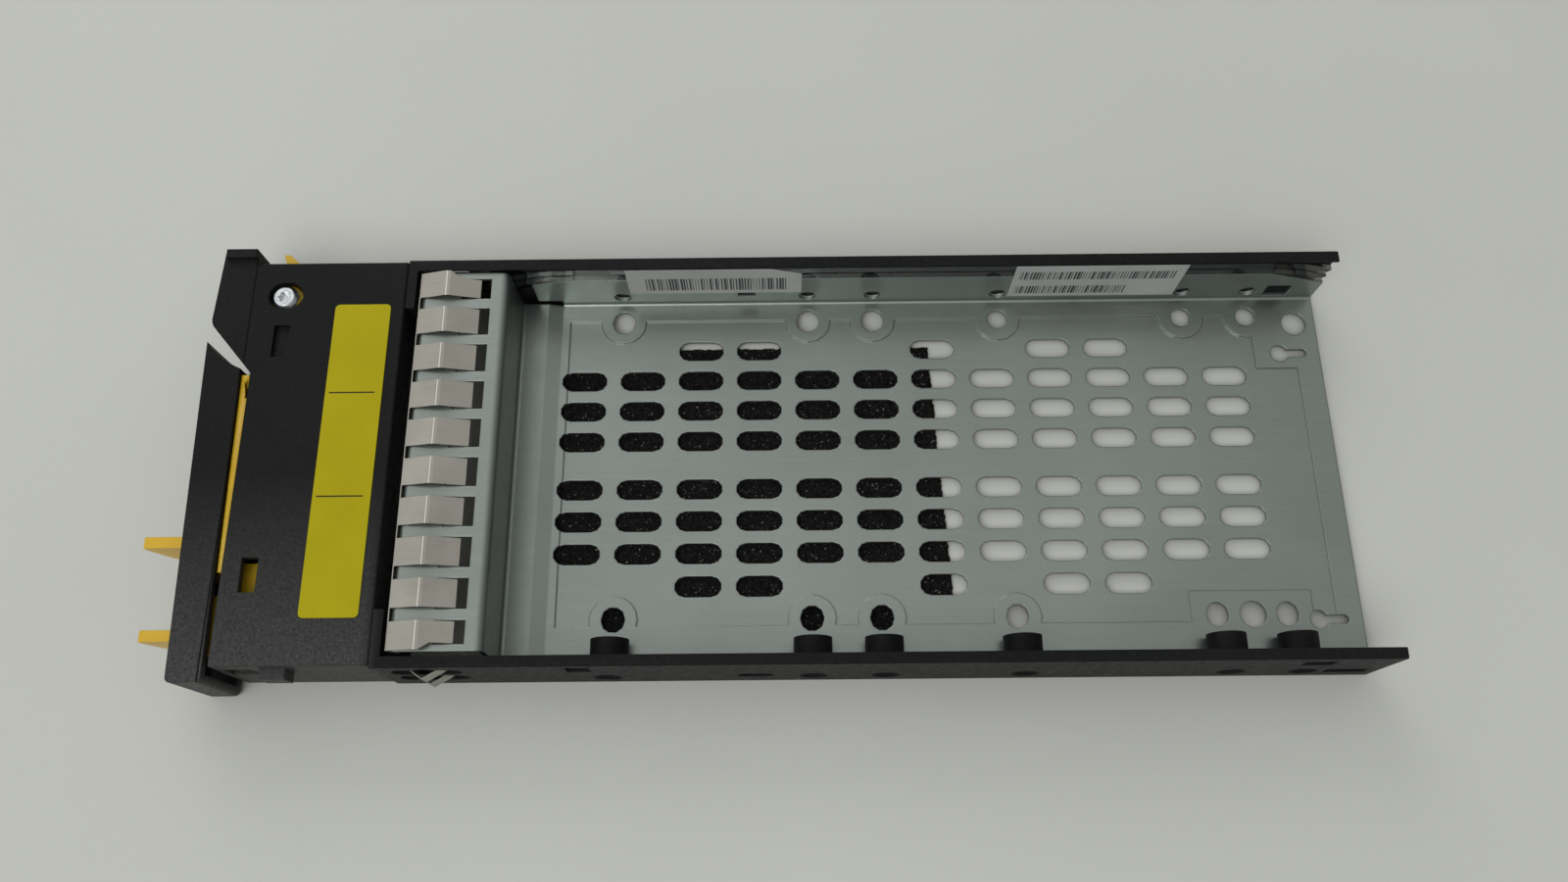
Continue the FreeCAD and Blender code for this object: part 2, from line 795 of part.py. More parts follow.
    # ventilation slots: two groups of three long rows, and a short row outside each
    vent = (d.slot_length, d.slot_width)
    low_row = d.slot_middle - d.slot_short_row
    pairs = [
        (add_stamped_slot, column * d.slot_pitch - d.slot_start, low_row, *vent)
        for column in SHORT_PAIRS
    ]
    first = cut(body, "z", PANEL_UNDER, 0, *pairs)
    spread(body, first, ("x", 2, d.slot_pitch), ("y", 2, 2 * d.slot_short_row))
    single_x = SHORT_SINGLE * d.slot_pitch - d.slot_start
    singles = [
        (add_stamped_slot, single_x, d.slot_middle + side * d.slot_short_row, *vent)
        for side in (-1, 1)
    ]
    cut(body, "z", PANEL_UNDER, 0, *singles)
    low_row = d.slot_middle - d.slot_inner_row - 2 * d.slot_row_pitch
    first = cut(body, "z", PANEL_UNDER, 0, (add_stamped_slot, -d.slot_start, low_row, *vent))
    group = 2 * d.slot_inner_row + 2 * d.slot_row_pitch
    spread(
        body, first,
        ("x", d.slot_columns, d.slot_pitch), ("y", 3, d.slot_row_pitch), ("y", 2, group),
    )


def build_rail(label, outer, inner, leg_end, sign):
    """A moulded side rail with its front return leg; sign is the way its outer face looks."""
    body = new_body(label)
    low_y, high_y = (outer, leg_end) if sign < 0 else (leg_end, outer)
    leg = (add_box, -LEG_FRONT, -d.leg_rear, low_y, high_y)
    side = (add_box, -d.leg_rear, d.rail_rear, *((outer, inner) if sign < 0 else (inner, outer)))
    pad(body, "z", LOW, d.rail_top, side)
    pad(body, "z", LOW, d.rail_top, leg)
    return body


def side_window(body, outer, inner, *shapes):
    """Openings through a rail's wall."""
    low, high = sorted((outer, inner), key=lambda item: item.value)
    return cut(body, "y", low, high, *shapes)


def sink_bores(body, low, high, outer):
    """Screw bores at the drive's side holes, countersunk on the outer face."""
    places = [(x, d.hole_height) for x in SEATS + REAR_SEATS]
    cut(body, "y", low, high, *holes(places, d.bore_radius))
    soften(body, d.sink_depth, lambda edge: is_circle(edge, d.bore_radius, "y", outer), "Chamfer")


LEAF_MIDDLE = -(d.leaf_front + d.leaf_rear) / 2
LEAF_OPENING = d.leaf_front - d.leaf_rear + 2 * d.clip_margin
LEAF_SLOT = d.leaf_height + d.clip_margin


def build_near_rail():
    """The rail with six bosses that reach the drive's side."""
    body = build_rail("rail_near", RAIL_NEAR, NEAR_OUT, RAIL_NEAR + d.leg_length, -1)
    places = [(x, d.hole_height) for x in SEATS + REAR_SEATS]
    pad(body, "y", NEAR_OUT, -d.drive_near, *holes(places, d.boss_radius))
    reach = d.boss_radius + d.boss_clearance
    under_bosses = (add_box, -reach, REAR_SEATS[-1] + reach, NEAR_OUT, -d.drive_near)
    cut(body, "z", LOW, d.boss_clearance, under_bosses)
    side_window(
        body, RAIL_NEAR, NEAR_OUT,
        (add_stamped_slot, LEAF_MIDDLE, d.leaf_low, LEAF_OPENING, LEAF_SLOT),
        (add_stamped_slot, LEAF_MIDDLE, d.leaf_high, LEAF_OPENING, LEAF_SLOT),
        (add_box, -d.clip_window_front, -d.clip_window_rear, d.clip_window_low, d.clip_window_high),
        (add_stamped_slot, d.key_window_middle, d.key_window_level, d.key_window_length, d.key_window_width),
        (add_box, d.rear_window_front, d.rear_window_rear, d.clip_window_low, d.rear_window_high),
        (add_box, d.end_window_front, d.end_window_rear, d.end_window_low, d.end_window_high),
    )
    sink_bores(body, RAIL_NEAR, -d.drive_near, RAIL_NEAR)
    soften(body, d.edge_radius, edge_at("x", (RAIL_NEAR, d.rail_top)))


def build_far_rail():
    """The rail with the channel that carries the light pipe."""
    body = build_rail("rail_far", RAIL_FAR, FAR_OUT, RAIL_FAR - d.leg_length, 1)
    lip = (add_box, -d.leg_rear, d.rail_rear, d.drive_far, FAR_OUT)
    pad(body, "z", CHANNEL_TOP, d.rail_top, lip)
    channel = [
        (-LEG_FRONT, CHANNEL_LOW),
        (-d.channel_toe, CHANNEL_LOW),
        (-d.pipe_drop_start, CHANNEL_STEP),
        (d.pipe_rear_start, CHANNEL_STEP),
        (d.rail_rear, d.wall_rear_height),
        (d.rail_rear, CHANNEL_TOP),
        (-d.leg_rear, CHANNEL_TOP),
        (-d.leg_rear, CHANNEL_TURN),
        (-LEG_FRONT, CHANNEL_TURN),
    ]
    cut(body, "y", FAR_OUT, CHANNEL_BACK, (add_outline, channel))
    passage = (add_box, -LEG_FRONT, -d.leg_rear, CHANNEL_LOW, CHANNEL_TURN)
    cut(body, "y", d.drive_far - d.pipe_clearance, FAR_OUT, passage)
    side_window(
        body, RAIL_FAR, FAR_OUT,
        (add_stamped_slot, LEAF_MIDDLE, d.leaf_far, LEAF_OPENING, LEAF_SLOT),
    )
    sink_bores(body, FAR_OUT, RAIL_FAR, RAIL_FAR)
    soften(body, d.edge_radius, edge_at("x", (RAIL_FAR, d.rail_top)))


def build_finger_strip():
    """Ten sprung shielding fingers on a spine that clips round the comb plate's edge."""
    body = new_body("emi_strip")
    gauge = d.spring_gauge
    front = -d.comb_front - gauge
    top = d.comb_top + gauge
    lip = d.comb_top - d.comb_lip
    spine = [
        (front, lip - gauge),
        (-d.comb_front + 2 * d.sheet_gauge, lip - gauge),
        (-d.comb_front + 2 * d.sheet_gauge, lip),
        (-d.comb_front, lip),
        (-d.comb_front, top),
        (front, top),
    ]
    pad(body, "y", FINGER_LOW, d.finger_far, (add_outline, spine))
    ridge = d.comb_top + d.finger_rise
    half = d.ridge_flat / 2
    finger = [
        (front, top - gauge),
        (-d.comb_front, top - gauge),
        (-d.finger_ridge - half, ridge - gauge),
        (-d.finger_ridge + half, ridge - gauge),
        (-d.finger_tip, d.comb_top - 2 * gauge),
        (-d.finger_tip, d.comb_top - gauge),
        (-d.finger_ridge + half, ridge),
        (-d.finger_ridge - half, ridge),
        (front, top),
    ]
    one = pad(body, "y", FINGER_LOW, FINGER_LOW + d.finger_width, (add_outline, finger))
    repeat(body, one, "y", d.finger_count, d.finger_pitch)
    taper = d.finger_taper
    shoulder = -d.finger_ridge + half
    heel = -d.window_front - d.finger_clearance
    near_corner = [
        (shoulder, FINGER_LOW),
        (-d.finger_tip, FINGER_LOW),
        (-d.finger_tip, FINGER_LOW + taper),
        (heel, FINGER_LOW + taper),
    ]
    far_corner = [
        (shoulder, d.finger_far),
        (heel, d.finger_far - taper),
        (-d.finger_tip, d.finger_far - taper),
        (-d.finger_tip, d.finger_far),
    ]
    cut(
        body, "z", d.comb_top - 2 * gauge, ridge,
        (add_outline, near_corner), (add_outline, far_corner),
    )


def build_side_clip(label, levels, wall, outer, sign, reach):
    """Sprung leaves that bow out through a rail, on one flat carrier."""
    body = new_body(label)
    gauge = d.spring_gauge
    margin = d.clip_margin
    front = -d.leaf_front - margin
    rear = -d.leaf_rear + margin
    base = wall - sign * gauge
    low, high = sorted((wall, base), key=lambda item: item.value)
    half = d.leaf_height / 2
    pad(
        body, "y", low, high,
        (add_box, front, rear, levels[0] - half - margin / 2, levels[-1] + half + margin / 2),
    )
    cut(
        body, "y", low, high,
        *[(add_box, -d.leaf_front + gauge, -d.leaf_rear, z - half, z + half) for z in levels],
    )
    peak = outer + sign * reach
    root = -d.leaf_front
    end = wall + sign * gauge * 2
    leaf = [
        (root, base),
        (root + gauge, base),
        (-d.leaf_peak, peak - sign * gauge),
        (-d.leaf_rear - gauge, end - sign * gauge),
        (-d.leaf_rear - gauge, end),
        (-d.leaf_peak, peak),
        (root, wall),
    ]
    for z in levels:
        pad(body, "z", z - half, z + half, (add_outline, leaf))


def build_light_pipe():
    """Two clear rods side by side, bent together and tied by bridges."""
    body = new_body("light_pipe")
    front = -d.cap_pipe_front
    half = d.pipe_height / 2
    for side in (1, -1):
        shift = side * d.pipe_spacing / 2
        high = d.pipe_level + shift
        low = d.pipe_low_level + shift
        profile = new_sketch(body, "x", front)
        add_box(profile, d.drive_far, d.drive_far + d.pipe_depth, low - half, low + half)
        path = new_sketch(body, "y", d.drive_far + d.pipe_depth / 2)
        draw_pipe_path(path, front, low, high, shift)
        doc.recompute()
        rod = body.newObject("PartDesign::AdditivePipe", "Rod")
        rod.Profile = profile
        rod.Spine = (path, ["Edge%d" % (i + 1) for i in range(5)])
        body.Tip = rod
        doc.recompute()
    gap = (d.pipe_spacing - d.pipe_height) / 2
    bridges = []
    for start in (-d.bridge_front, d.bridge_rear):
        bridges.append(
            (add_box, start, start + d.bridge_length, d.pipe_level - gap, d.pipe_level + gap)
        )
    pad(body, "y", d.drive_far, d.drive_far + d.pipe_depth, *bridges)


def draw_pipe_path(sketch, front, low, high, shift):
    """Level run, two matching bends down to the cap, and one bend at the rear end."""
    first_bend = d.pipe_bend + shift
    second_bend = d.pipe_bend - shift
    rear_bend = d.pipe_rear_bend + shift
    drop = (high - low).value
    turn = math.acos(1 - drop / (first_bend.value + second_bend.value))
    start_x = -d.pipe_drop_start.value
    top = FreeCAD.Vector(start_x, high.value - first_bend.value, 0)
    reach = (first_bend.value + second_bend.value) * math.sin(turn)
    bottom = FreeCAD.Vector(start_x - reach, low.value + second_bend.value, 0)
    rear = FreeCAD.Vector(d.pipe_rear_start.value, high.value - rear_bend.value, 0)
    rear_turn = math.asin((d.pipe_rear.value - rear.x) / rear_bend.value)
    normal = FreeCAD.Vector(0, 0, 1)
    up = math.pi / 2
    arcs = [
        Part.ArcOfCircle(Part.Circle(bottom, normal, second_bend.value), 3 * up, 3 * up + turn),
        Part.ArcOfCircle(Part.Circle(top, normal, first_bend.value), up, up + turn),
        Part.ArcOfCircle(Part.Circle(rear, normal, rear_bend.value), up - rear_turn, up),
    ]
    begin = FreeCAD.Vector(front.value, low.value, 0)
    sketch.addGeometry(
        [
            Part.LineSegment(begin, arcs[0].StartPoint),
            arcs[0],
            arcs[1],
            Part.LineSegment(arcs[1].StartPoint, arcs[2].EndPoint),
            arcs[2],
        ],
        False,
    )
    limits = [
        (Sketcher.Constraint("Tangent", 0, 2, 1, 1), None),
        (Sketcher.Constraint("Tangent", 1, 2, 2, 2), None),
        (Sketcher.Constraint("Tangent", 2, 1, 3, 1), None),
        (Sketcher.Constraint("Tangent", 3, 2, 4, 2), None),
        (Sketcher.Constraint("Horizontal", 0), None),
        (Sketcher.Constraint("Horizontal", 3), None),
        with_radius(1, second_bend),
        with_radius(2, first_bend),
        with_radius(4, rear_bend),
    ]
    limits += at_point(0, 1, front, low)
    limits += at_point(3, 1, -d.pipe_drop_start, high)
    for line, vertex, place in ((3, 2, d.pipe_rear_start), (4, 1, d.pipe_rear)):
        reach = Sketcher.Constraint("DistanceX", -1, 1, line, vertex, place.value)
        limits.append((reach, place))
    hold(sketch, limits)


def housing_box(body, low, high):
    """One shell of the front housing: its outer block between two levels."""
    pad(
        body, "z", low, high,
        (add_box, -d.housing_front, -LEG_FRONT, -d.housing_near, d.housing_far),
    )
    step = [
        (-d.housing_front, d.cap_tip),
        (CAP_BACK, CAP_TIP),
        (CAP_BACK, d.housing_far),
        (-d.housing_front, d.housing_far),
    ]
    pad(body, "z", low, high, (add_outline, step))


def housing_room(body, low, high):
    """The room inside the housing between two levels."""
    cut(
        body, "z", low, high,
        (add_box, WALL_IN_FRONT, -LEG_FRONT - d.housing_wall, WALL_IN_NEAR, WALL_IN_FAR),
    )


def housing_ways(body, low, high, arm_high):
    """The ways that the lever, its tooth and the latch need through one shell's walls."""
    cut(
        body, "x", -d.housing_front, WALL_IN_FRONT,
        (add_box, WALL_IN_NEAR, d.cap_tip, low, high),
    )
    cut(
        body, "x", CAP_BACK, WALL_IN_FRONT,
        (add_box, d.cap_tip, WALL_IN_FAR - d.lever_clearance, low, arm_high),
    )
    cut(body, "y", WALL_IN_FAR, d.housing_far, (add_box, WALL_IN_FRONT, -d.tooth_way_rear, low, high))
    near_way = (add_box, WALL_IN_FRONT, -d.near_way_rear, low, high)
    cut(body, "y", -d.housing_near, WALL_IN_NEAR, near_way)


def build_housing_base():
    """The lower shell, with the pivot post and the pipe's groove."""
    body = new_body("housing_base")
    floor = LOW + d.housing_wall
    housing_box(body, LOW, d.seam)
    housing_room(body, floor, d.seam)
    pad(body, "z", floor, d.lever_bottom - d.post_clearance, *holes([PIVOT], d.pivot_post_radius))
    housing_ways(body, LEVER_LOW, d.seam, d.seam)
    groove = (add_box, CAP_BACK, -LEG_FRONT, CHANNEL_LOW, CHANNEL_TURN)
    cut(body, "y", d.drive_far - d.pipe_clearance, CHANNEL_BACK, groove)
    bore = holes([PIVOT], d.screw_radius + d.screw_clearance)
    cut(body, "z", floor, d.lever_bottom - d.post_clearance, *bore)


def build_housing_cover():
    """The upper shell: guide key, oval over the pivot screw, a pocket and a view window."""
    body = new_body("housing_cover")
    ceiling = d.housing_top - d.roof
    housing_box(body, d.seam, d.housing_top)
    housing_room(body, d.seam, ceiling)
    housing_ways(body, d.seam, LEVER_HIGH, d.hub_top + d.lever_clearance)
    oval_front = -d.pivot_front - d.oval_width / 2
    middle = (oval_front - d.oval_rear) / 2
    length = -d.oval_rear - oval_front
    cut(body, "z", ceiling, d.housing_top, (add_slot, middle, d.pivot_side, length, d.oval_width))
    front, rear = -d.view_window_front, -d.view_window_rear
    window = (add_box, front, rear, d.latch_window_near, d.latch_window_far)
    cut(body, "z", ceiling, d.housing_top, window)
    pocket = (add_box, front, rear, d.front_window_near, d.front_window_far)
    cut(body, "z", ceiling + d.pocket_floor, d.housing_top, pocket)
    key = (add_box, -d.key_front, -d.key_rear, d.seam, d.key_top)
    pad(body, "y", -d.housing_near - d.key_reach, -d.housing_near, key)
    top_edges = edge_at("y", (-d.housing_front, d.housing_top), (-LEG_FRONT, d.housing_top))
    soften(body, d.edge_radius, top_edges)
    side_edges = edge_at("x", (-d.housing_near, d.housing_top), (d.housing_far, d.housing_top))
    soften(body, d.edge_radius, side_edges)


def build_cap():
    """The fixed end of the bezel: a hollow cap with a mouth that the lever swings through."""
    body = new_body("bezel_cap")
    wall = d.grip_wall
    back = CAP_BACK
    outline = [
        (back, CAP_TIP),
        (back, d.cap_far),
        (-d.cap_front_far, d.cap_far),
        (-d.cap_front_near, d.cap_shoulder),
    ]
    pad(body, "z", GRIP_LOW, d.housing_top, (add_outline, outline))
    soften(body, d.cap_round, edge_at("z", (-d.cap_front_near, d.cap_shoulder)))
    soften(body, d.edge_radius, edge_at("z", (-d.cap_front_far, d.cap_far)))
    room = [
        (back, CAP_TIP + 2 * wall),
        (back, d.cap_far - wall),
        (wall - d.cap_front_far, d.cap_far - wall),
        (wall - d.cap_front_near, d.cap_shoulder + wall),
        (back - wall, CAP_TIP + 2 * wall),
    ]
    cut(body, "z", GRIP_LOW + wall, d.housing_top - wall, (add_outline, room))
    mouth = [
        (back, d.cap_tip),
        (back, d.cap_shoulder + 2 * wall),
        (-d.cap_front_near, d.cap_shoulder + wall / 2),
        (-d.cap_front_near, d.cap_tip),
    ]
    cut(body, "z", LEVER_LOW, LEVER_HIGH, (add_outline, mouth))
    port = (add_box, d.drive_far - d.pipe_clearance, CHANNEL_BACK, CHANNEL_LOW, CHANNEL_TURN)
    cut(body, "x", -d.cap_front_near, back, port)
    lip = (add_box, -d.cap_front_far + d.edge_radius, back, d.cap_far - d.lip_width, d.cap_far)
    pad(body, "z", d.housing_top, d.housing_top + d.lip_height, lip)


def grip_front(y):
    """The grip's slightly slanting front face at a place across the carrier."""
    share = (size(y) + d.grip_near) / (d.grip_blank_far + d.grip_near)
    return -d.grip_front_near - (d.grip_front_far - d.grip_front_near) * share


def tab_slot(near, far):
    """The way of a pinch tab through the grip's front."""
    gap = d.post_clearance
    return (add_box, near - gap, far + gap, d.tab_bottom - gap, d.tab_top + gap)


def build_grip():
    """The handle's hollow grip, open at the back, with ribs that hold the lever."""
    body = new_body("handle_grip")
    wall = d.grip_wall
    outline = [
        (-d.grip_front_far, d.grip_blank_far),
        (-d.grip_front_near, -d.grip_near),
        (-d.grip_back_near, -d.grip_near),
        (-d.grip_back_far, d.grip_blank_far),
    ]
    pad(body, "z", GRIP_LOW, d.housing_top, (add_outline, outline))
    corners = edge_at("z", (-d.grip_front_near, -d.grip_near), (-d.grip_back_near, -d.grip_near))
    soften(body, d.grip_corner, corners)
    cut(body, "z", GRIP_LOW, d.housing_top, *holes([PIVOT], d.grip_end_radius))
    far = d.grip_cavity_far
    room = [
        (grip_front(far) + wall, far),
        (grip_front(-d.grip_near + wall) + wall, -d.grip_near + wall),
        (-d.grip_back_near, -d.grip_near + wall),
        (-d.grip_back_near, far),
    ]
    cut(body, "z", GRIP_LOW + wall, d.housing_top - wall, (add_outline, room))
    gap = d.lever_clearance
    passage = (add_box, -d.passage_front, -d.grip_back_near, d.arm_near, d.arm_far + gap)
    cut(body, "z", d.lever_bottom - gap, d.lever_top + gap, passage)
    cut(body, "x", -d.grip_front_far, -d.slot_back, tab_slot(d.tab_near, d.tab_near + d.tab_gauge))
    latch_far = d.tab_gauge + d.latch_travel - d.latch_tab_near
    cut(body, "x", -d.grip_front_far, -d.slot_back, tab_slot(-d.latch_tab_near, latch_far))
    for low, high in ((GRIP_LOW + wall, d.lever_bottom), (d.lever_top, d.housing_top - wall)):
        for index in range(RIB_COUNT):
            y = d.rib_first + index * d.rib_pitch
            rib = (add_box, grip_front(y) + wall / 2, -d.lever_back, y, y + d.rib_gauge)
            pad(body, "z", low, high, rib)
        guide_far = -d.latch_tab_near - 4 * d.post_clearance
        guide = (add_box, -d.rail_guide_front, -d.lever_back, -d.grip_near + wall, guide_far)
        pad(body, "z", low, high, guide)


def draw_tab(body, near, tip, root):
    """A fan-shaped thumb tab that stands on edge."""
    fan = [
        (root, d.tab_top),
        (-tip, d.tab_top),
        (-tip, d.tab_top - d.tab_nose),
        (-tip + d.tab_nose, (d.tab_top + d.tab_bottom) / 2),
        (-tip + TAB_HEEL * d.tab_nose, d.tab_bottom + d.tab_nose),
        (-tip + TAB_ROOT * d.tab_nose, d.tab_bottom),
        (root, d.tab_bottom),
    ]
    pad(body, "y", near, near + d.tab_gauge, (add_outline, fan))


def build_lever():
    """The amber lever: hub and cam tooth, arm, strip in the grip and the fixed tab."""
    body = new_body("lever_arm")
    slack = d.post_clearance
    near = d.strip_near
    elbow = d.grip_cavity_far - slack
    front = d.grip_wall + slack
    strip = [
        (-d.arm_rear, d.pivot_side),
        (-d.arm_front, d.pivot_side),
        (-d.arm_front, d.arm_far),
        (-d.lever_back - slack, d.arm_far - d.hub_step),
        (-d.passage_front + slack, elbow),
        (grip_front(elbow) + front, elbow),
        (grip_front(near) + front, near),
        (-d.lever_back, near),
        (-d.lever_back, d.arm_near + slack),
        (-d.arm_rear, d.arm_near + d.hub_step + slack),
    ]
    pad(body, "z", d.lever_bottom, d.lever_top, (add_outline, strip))
    pad(body, "z", d.lever_bottom, d.lever_top, *holes([PIVOT], d.hub_radius))
    pad(body, "z", d.lever_top, d.hub_top, *holes([PIVOT], d.collar_radius))
    tooth = [
        (-d.tooth_front, d.tooth_reach),
        (-d.tooth_front - d.tooth_lean + d.tooth_width, d.tooth_reach),
        (-d.tooth_front + 2 * d.tooth_lean + d.tooth_width, d.tooth_reach - d.tooth_width),
        (-d.pivot_front + d.collar_radius, d.pivot_side),
        (-d.pivot_front - d.collar_radius, d.pivot_side),
        (-d.tooth_front + d.tooth_lean, d.tooth_reach - d.tooth_width),
    ]
    pad(body, "z", d.lever_bottom, d.lever_top, (add_outline, tooth))
    cut(body, "z", d.lever_bottom, d.hub_top, *holes([PIVOT], d.screw_radius + d.screw_clearance))
    draw_tab(body, d.tab_near, d.tab_tip, grip_front(d.tab_near) + front + d.tab_gauge)


def build_latch():
    """The sliding half of the pinch latch: tab, neck and the hook in the housing."""
    body = new_body("latch_slider")
    slack = d.post_clearance
    gap = d.hook_gap
    front = -d.rail_guide_front + slack
    low = WALL_IN_NEAR + gap
    neck = d.strip_near - d.latch_travel - 2 * slack
    plate = [
        (front, low + d.guide_far),
        (-d.hook_front, low + d.guide_far),
        (-d.hook_front, low),
        (-d.hook_rear - d.guide_far, low),
        (-d.hook_rear, low + d.guide_far),
        (-d.hook_rear, d.hook_far),
        (-d.hook_front, d.hook_far),
        (-d.hook_front, neck),
        (front, neck),
    ]
    pad(body, "z", d.lever_bottom, d.lever_top, (add_outline, plate))
    draw_tab(body, -d.latch_tab_near, d.latch_tab_tip, front + d.tab_gauge)


def build_screw():
    """The six-lobe screw that the lever turns on."""
    body = new_body("pivot_screw")
    floor = LOW + d.housing_wall
    seat = d.hub_top + d.screw_clearance
    top = seat + d.screw_head_height
    pad(body, "z", floor + d.lever_clearance, seat, *holes([PIVOT], d.screw_radius))
    pad(body, "z", seat, top, *holes([PIVOT], d.screw_head_radius))

    def rim(edge):
        return is_circle(edge, d.screw_head_radius, "z", top)

    soften(body, d.screw_dome, rim, "Chamfer")
    lobes = []
    for index in range(6):
        angle = math.radians(60 * index)
        lobes.append(
            (
                -d.pivot_front + d.drive_radius * math.cos(angle),
                d.pivot_side + d.drive_radius * math.sin(angle),
            )
        )
        waist = angle + math.radians(30)
        lobes.append(
            (
                -d.pivot_front + d.drive_waist * math.cos(waist),
                d.pivot_side + d.drive_waist * math.sin(waist),
            )
        )
    cut(body, "z", top - d.drive_depth, top, (add_outline, lobes))


def build_labels_and_foam():
    """Stuck-on pieces: three labels and the pad under the tray."""
    body = new_body("front_label")
    sheet_box = (
        add_box, -d.front_label_front, -d.front_label_rear, -d.front_label_near, d.front_label_far,
    )
    pad(body, "z", d.housing_top, d.housing_top + d.label_gauge, sheet_box)
    corners = [
        (x, y)
        for x in (-d.front_label_front, -d.front_label_rear)
        for y in (-d.front_label_near, d.front_label_far)
    ]
    soften(body, d.label_corner, edge_at("z", *corners))

    face = d.drive_far - d.label_gauge
    body = new_body("part_label")
    clip = d.label_clip
    outline = [
        (d.part_label_front, d.part_label_bottom),
        (d.part_label_rear, d.part_label_bottom),
        (d.part_label_rear, d.side_label_top - clip),
        (d.part_label_rear - 3 * clip, d.side_label_top),
        (d.part_label_front, d.side_label_top),
    ]
    pad(body, "y", face, d.drive_far, (add_outline, outline))
    body = new_body("serial_label")
    place = (
        add_box, d.serial_label_front, d.serial_label_rear, d.serial_label_bottom, d.side_label_top,
    )
    pad(body, "y", face, d.drive_far, place)

    body = new_body("foam_pad")
    outline = [
        (-d.foam_front, -d.foam_near),
        (d.foam_rear + d.foam_skew / 2, -d.foam_near),
        (d.foam_rear - d.foam_skew / 2, d.foam_far),
        (-d.foam_front, d.foam_far),
    ]
    pad(body, "z", PANEL_UNDER - d.foam_gauge, PANEL_UNDER, (add_outline, outline))


def write_pieces():
    """Check every object of the document, then write each piece under its own name."""
    doc.recompute()
    for item in doc.Objects:
        if "Invalid" in item.State or "Error" in item.State:
            raise ValueError("%s did not compute" % item.Name)
    for body in PIECES:
        if body.Shape.isNull() or not body.Shape.isValid():
            raise ValueError("%s has no valid shape" % body.Label)
    for body in PIECES:
        body.Shape.exportStep("parts/%s.step" % body.Label)
        print(body.Label, round(body.Shape.Volume, 1), len(body.Shape.Solids))


build_tray()
build_near_rail()
build_far_rail()
build_finger_strip()
build_side_clip("emi_clip_near", [d.leaf_low, d.leaf_high], NEAR_OUT, RAIL_NEAR, -1, d.leaf_reach)
build_side_clip("emi_clip_far", [d.leaf_far], FAR_OUT, RAIL_FAR, 1, d.leaf_reach_far)
build_light_pipe()
build_housing_base()
build_housing_cover()
build_cap()
build_grip()
build_lever()
build_latch()
build_screw()
build_labels_and_foam()
write_pieces()
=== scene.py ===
import bpy
import bmesh
import json
import math
from mathutils import Matrix, Vector, noise


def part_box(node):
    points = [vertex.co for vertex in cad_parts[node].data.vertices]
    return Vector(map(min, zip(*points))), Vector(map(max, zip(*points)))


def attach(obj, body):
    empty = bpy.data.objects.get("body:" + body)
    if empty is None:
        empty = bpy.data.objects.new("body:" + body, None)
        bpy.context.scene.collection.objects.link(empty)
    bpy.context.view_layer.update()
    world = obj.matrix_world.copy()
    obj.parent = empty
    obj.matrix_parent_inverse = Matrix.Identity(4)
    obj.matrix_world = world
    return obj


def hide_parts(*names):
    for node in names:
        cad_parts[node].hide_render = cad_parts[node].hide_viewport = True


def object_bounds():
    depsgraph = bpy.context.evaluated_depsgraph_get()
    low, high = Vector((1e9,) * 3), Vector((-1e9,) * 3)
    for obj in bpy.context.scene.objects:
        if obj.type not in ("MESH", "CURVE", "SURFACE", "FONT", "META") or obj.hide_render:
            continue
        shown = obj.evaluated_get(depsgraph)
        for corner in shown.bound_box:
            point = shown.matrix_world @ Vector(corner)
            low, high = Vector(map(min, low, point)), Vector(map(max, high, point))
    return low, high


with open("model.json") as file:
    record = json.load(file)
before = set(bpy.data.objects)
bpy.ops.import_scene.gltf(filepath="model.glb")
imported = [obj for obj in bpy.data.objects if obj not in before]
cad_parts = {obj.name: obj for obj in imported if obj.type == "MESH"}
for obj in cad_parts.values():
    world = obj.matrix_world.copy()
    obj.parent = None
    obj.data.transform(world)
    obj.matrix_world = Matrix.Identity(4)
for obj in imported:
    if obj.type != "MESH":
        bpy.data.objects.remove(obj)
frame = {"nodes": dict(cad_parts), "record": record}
nodes = frame["nodes"]
cad_low, cad_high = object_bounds()

# ------------------------------------------------------------------ material helpers

BEVEL_SAMPLES = 4
# the middle of a noise's values, where most of them lie
MIDDLE = (0.3, 0.7)
# narrowest and widest stripe, as shares of the pitch
STRIPE_SHARES = (0.2, 0.85)
# how much the normal turns where the painted edge highlight starts, and where it is full
HIGHLIGHT_START, HIGHLIGHT_FULL = 0.02, 0.2


